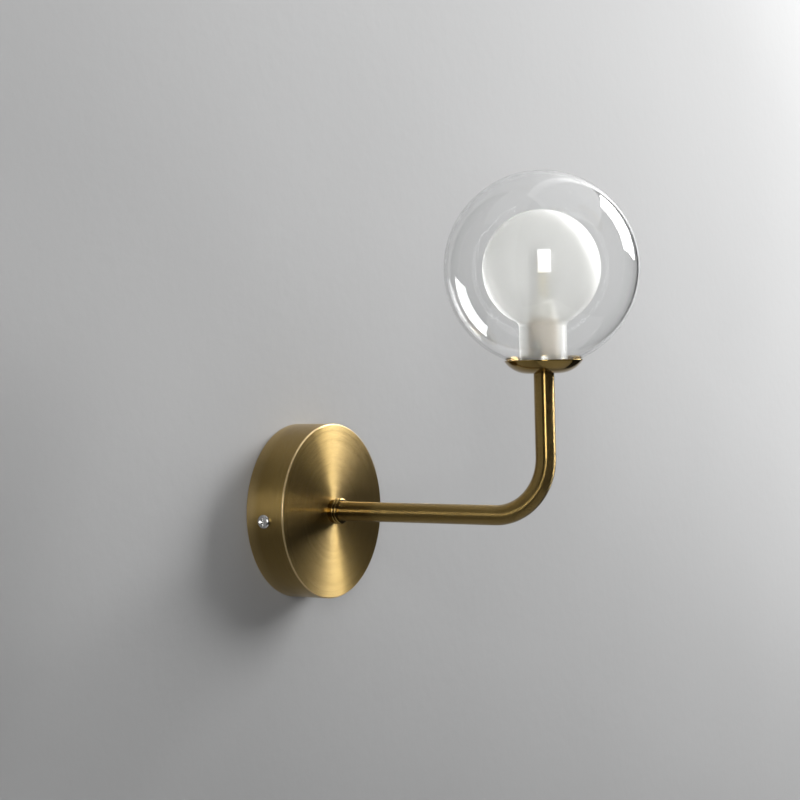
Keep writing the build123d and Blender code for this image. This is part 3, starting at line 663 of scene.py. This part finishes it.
shell = Outline(NIPPLE_HOLE, shell_foot).line(CUP_FLAT, shell_foot)
shell.line(wall_radius, shell_foot + SHOULDER).line(wall_radius, shell_foot + PLAIN_FOOT)
rolled_thread(shell, wall_radius, shell_foot + PLAIN_FOOT, shell_top - PLAIN_TOP)
shell.line(wall_radius, shell_top).line(shell_radius - SHELL_WALL, shell_top)
shell.line(shell_radius - SHELL_WALL, shell_foot + SHELL_FLOOR)
shell.line(NIPPLE_HOLE, shell_foot + SHELL_FLOOR).close()
complete(
    moved(shell.turn(96), ON_UPRIGHT), "shell_threaded", machined_brass, "root", ["holder_shell"],
    sharp=80,
)

# %% [markdown]
# A ring with the matching thread is cemented in the neck, and a soft silicone washer keeps glass and
# brass apart. Only the washer's outer corners are rounded, because its bore is out of sight.

# %% Threaded ring
ring_low, ring_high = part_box("shade_ring")
ring_outer = (ring_high.x - ring_low.x) / 2 / MM
THREAD_ROOM, RING_LIP = 0.3, 0.6
ring_inner = shell_radius + THREAD_ROOM
nut_ring = Outline(ring_outer, ring_low.z / MM).line(ring_outer, ring_high.z / MM)
nut_ring.line(ring_inner, ring_high.z / MM)
rolled_thread(nut_ring, ring_inner, ring_high.z / MM, ring_low.z / MM + RING_LIP)
nut_ring.line(ring_inner, ring_low.z / MM).close()
complete(
    moved(nut_ring.turn(96), ON_UPRIGHT), "ring_threaded", turned_aluminium, "shade", ["shade_ring"],
    sharp=80,
)

# %% Washer
washer_low, washer_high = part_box("shade_gasket")
washer_outer = (washer_high.x - washer_low.x) / 2 / MM
WASHER_ROUND = 0.5
low, high = washer_low.z / MM, washer_high.z / MM
washer = Outline(ring_inner, low).line(washer_outer - WASHER_ROUND, low)
washer.arc(washer_outer - WASHER_ROUND, low + WASHER_ROUND, 90, 5).line(washer_outer, high - WASHER_ROUND)
washer.arc(washer_outer - WASHER_ROUND, high - WASHER_ROUND, 90, 5).line(ring_inner, high).close()
complete(
    moved(washer.turn(128), ON_UPRIGHT), "washer_moulded", silicone, "shade_seat", ["shade_gasket"],
)

# %% [markdown]
# ## Finishes for the solids that stay
# The small solids are true enough to show as they are, so they keep their meshes and only get the
# finishes above, by the slot that the record gives each of them.

# %% Dress the solids
BY_SLOT = {
    "satin_brass": satin_brass_canopy, "polished_brass": polished_collar, "raw_brass": machined_brass,
    "zinc_steel": zinc_plate, "bright_screw": nickel_plate, "tinned_copper": tinned_copper,
    "white_plastic": white_plastic, "holder_ceramic": holder_ceramic, "lamp_ceramic": lamp_ceramic,
    "phosphor": phosphor, "clear_silicone": silicone, "ring_aluminium": turned_aluminium,
    "clear_glass": glass_clear, "frosted_glass": glass_frosted, "lamp_glass": glass_lamp,
    "brown_insulation": brown_wire, "blue_insulation": blue_wire, "green_insulation": green_wire,
}
for subpart in frame["record"]["subparts"]:
    for slot in frame["nodes"][subpart["node"]].material_slots:
        slot.material = BY_SLOT[subpart["material_slot"]]

# %% [markdown]
# ## Wall and floor
# A plain pale wall stands just behind the canopy and a plain floor lies well below. The wall is only
# painted on its front: seen from behind it is clear, so the fitting's back can be looked at. It has an
# outlet behind the canopy, as a real wall has for its cable, and the light behind the wall comes in
# through it and shows the canopy's inside. The paint gets a little paler upwards and to the right: that
# is painted light, standing in for the way the lamps' light falls off over the wall.

# %% Paint for the wall and the floor
WALL_GREY, FLOOR_GREY = (0.55, 0.552, 0.554), (0.6, 0.6, 0.6)
OUTLET = 56.0
# Painted light: the wall's paint is made paler upwards and to the right, standing in for how the lamps'
# light falls over it.
PALER_RIGHT, PALER_UP = 0.17, 0.39
PAINTED_FALLOFF = (0.41, 0.72), (0.45, 0.79), (0.5, 0.86), (0.55, 0.89), (0.6, 0.96), (0.66, 1.0), (0.81, 0.9)


def clouded(recipe, colour):
    return recipe.tint(recipe.noise(0.25, detail=3.0), colour, tuple(0.93 * c for c in colour))


def matt(recipe, paint):
    grain = recipe.bump(recipe.noise(0.012, detail=4.0), 0.0002)
    return recipe.surface({"Base Color": paint, "Roughness": 0.85, "Normal": grain})


def wall_paint():
    """Matt from the front, clear from behind and over the outlet."""
    recipe = new_finish("wall_paint")
    x, _, z = recipe.parts_of(recipe.place())
    # Painted light: paler paint upwards and to the right, in place of the lamps' falloff over the wall.
    painted_falloff = recipe.curve(x * PALER_RIGHT + z * PALER_UP + 0.5, *PAINTED_FALLOFF)
    shader = matt(recipe, recipe.scaled(clouded(recipe, WALL_GREY), painted_falloff))
    behind = recipe.node("ShaderNodeNewGeometry", output="Backfacing")
    outlet = (x * x + z * z).maths("SQRT").maths("LESS_THAN", OUTLET * MM)
    clear = recipe.node("ShaderNodeBsdfTransparent")
    return recipe.finish(
        recipe.node("ShaderNodeMixShader", (), [behind.maths("MAXIMUM", outlet), shader, clear])
    )


def floor_paint():
    recipe = new_finish("floor_paint")
    return recipe.finish(matt(recipe, clouded(recipe, FLOOR_GREY)))


print("the outlet is", 2 * OUTLET, "mm across, under the canopy")

# %% Wall and floor
WALL_GAP, FLOOR_DEPTH = 0.4 * MM, 2.4


def stage_plane(name, size, matrix, finish):
    mesh = bmesh.new()
    bmesh.ops.create_grid(mesh, x_segments=1, y_segments=1, size=size / 2)
    moved(mesh, matrix)
    data = bpy.data.meshes.new(name)
    mesh.to_mesh(data)
    mesh.free()
    data.materials.append(finish)
    plane = bpy.data.objects.new(name, data)
    bpy.context.collection.objects.link(plane)
    print(name, "is", size, "m square")


stage_plane("wall", 8.0, Matrix.Translation((0, WALL_GAP, 0)) @ FROM_WALL, wall_paint())
stage_plane("floor", 5.0, Matrix.Translation((0, 0, -FLOOR_DEPTH)), floor_paint())

# %% [markdown]
# ## Room
# Polished brass is mostly a picture of the room that it hangs in. Here that is the world's colour: a
# dim, even grey, a little lighter above, and bright behind the wall, where only the outlet lets it in.

# %% Room
world = bpy.data.worlds.new("room")
bpy.context.scene.world = world
room = Recipe(world)
_, away, upwards = room.parts_of(room.node("ShaderNodeTexCoord", output="Generated"))
glow = room.curve(upwards * 0.5 + 0.5, (0.0, 0.01), (0.5, 0.035), (1.0, 0.12))
light_behind = room.curve(away, (0.05, 0.0), (0.5, 0.5))
backdrop = room.node("ShaderNodeBackground", (), {"Color": glow + light_behind, "Strength": 1.0})
room.finish(backdrop, "ShaderNodeOutputWorld")
print("the room is", world.name)

# %% [markdown]
# ## Lamps
# The studio has a wide softbox to the right, nearly along the wall, whose light skims the wall and
# throws the canopy's shadow to the left. A smaller window stands in front and to the left, near the
# camera: it draws the small bright panel on the frosted globe and the lights along the arm. All the
# lamps are rectangles of soft light aimed at the globes. A dim panel above makes the wall paler
# towards its top.

# %% Softboxes
GLOBES = Vector((0, UPRIGHT_Y, globe_centre * MM))


def softbox(name, azimuth, elevation, distance, width, height, radiance, lean=0.0):
    """A rectangle of light aimed at the globes. Its power follows from how bright it looks.

    Azimuth 0 is straight out from the wall, and plus is to the right. Lean turns it about its aim.
    """
    a, e = radians(azimuth), radians(elevation)
    data = bpy.data.lights.new(name, "AREA")
    data.shape, data.size, data.size_y = "RECTANGLE", width, height
    data.energy = radiance * pi * width * height
    lamp = bpy.data.objects.new(name, data)
    away = Vector((sin(a) * cos(e), -cos(a) * cos(e), sin(e)))
    aim = away.to_track_quat("Z", "Y").to_matrix() @ Matrix.Rotation(radians(lean), 3, "Z")
    lamp.matrix_world = Matrix.Translation(GLOBES + away * distance) @ aim.to_4x4()
    bpy.context.collection.objects.link(lamp)
    print(name, "gives", round(data.energy, 1), "W")


softbox(
    "side_softbox", azimuth=69, elevation=23, distance=2.6, width=1.1, height=1.45, radiance=18.5, lean=-20,
)
softbox("front_window", azimuth=-59, elevation=6, distance=2.4, width=0.63, height=1.1, radiance=10.5)
softbox("top_panel", azimuth=56, elevation=69, distance=1.0, width=1.3, height=1.1, radiance=0.8)

# %% [markdown]
# ## Camera
# The camera stands to the left of the fitting and level with it, as in the photograph. Its place and
# lens were fitted to the outlines of the canopy, arm, cup and globes, and it leans over slightly.

# %% Camera
AIM = Vector((-0.32, -86.18, 75.75)) * MM
AZIMUTH, ELEVATION, LEAN = radians(-57.784), radians(1.134), radians(-1.437)
DISTANCE, LENS = 1204.143 * MM, 80.824

backwards = Vector((sin(AZIMUTH) * cos(ELEVATION), -cos(AZIMUTH) * cos(ELEVATION), sin(ELEVATION)))
level = (-backwards).cross(Vector((0, 0, 1))).normalized()
upright = level.cross(-backwards)
right = cos(LEAN) * level + sin(LEAN) * upright
up = cos(LEAN) * upright - sin(LEAN) * level
camera = bpy.data.objects.new("camera", bpy.data.cameras.new("camera"))
camera.data.lens = LENS
camera.matrix_world = (
    Matrix.Translation(AIM + backwards * DISTANCE) @ Matrix((right, up, backwards)).transposed().to_4x4()
)
bpy.context.collection.objects.link(camera)
bpy.context.scene.camera = camera
bpy.context.scene.view_settings.view_transform = "Standard"
print("the camera stands", round(DISTANCE, 2), "m away, with a lens of", LENS, "mm")
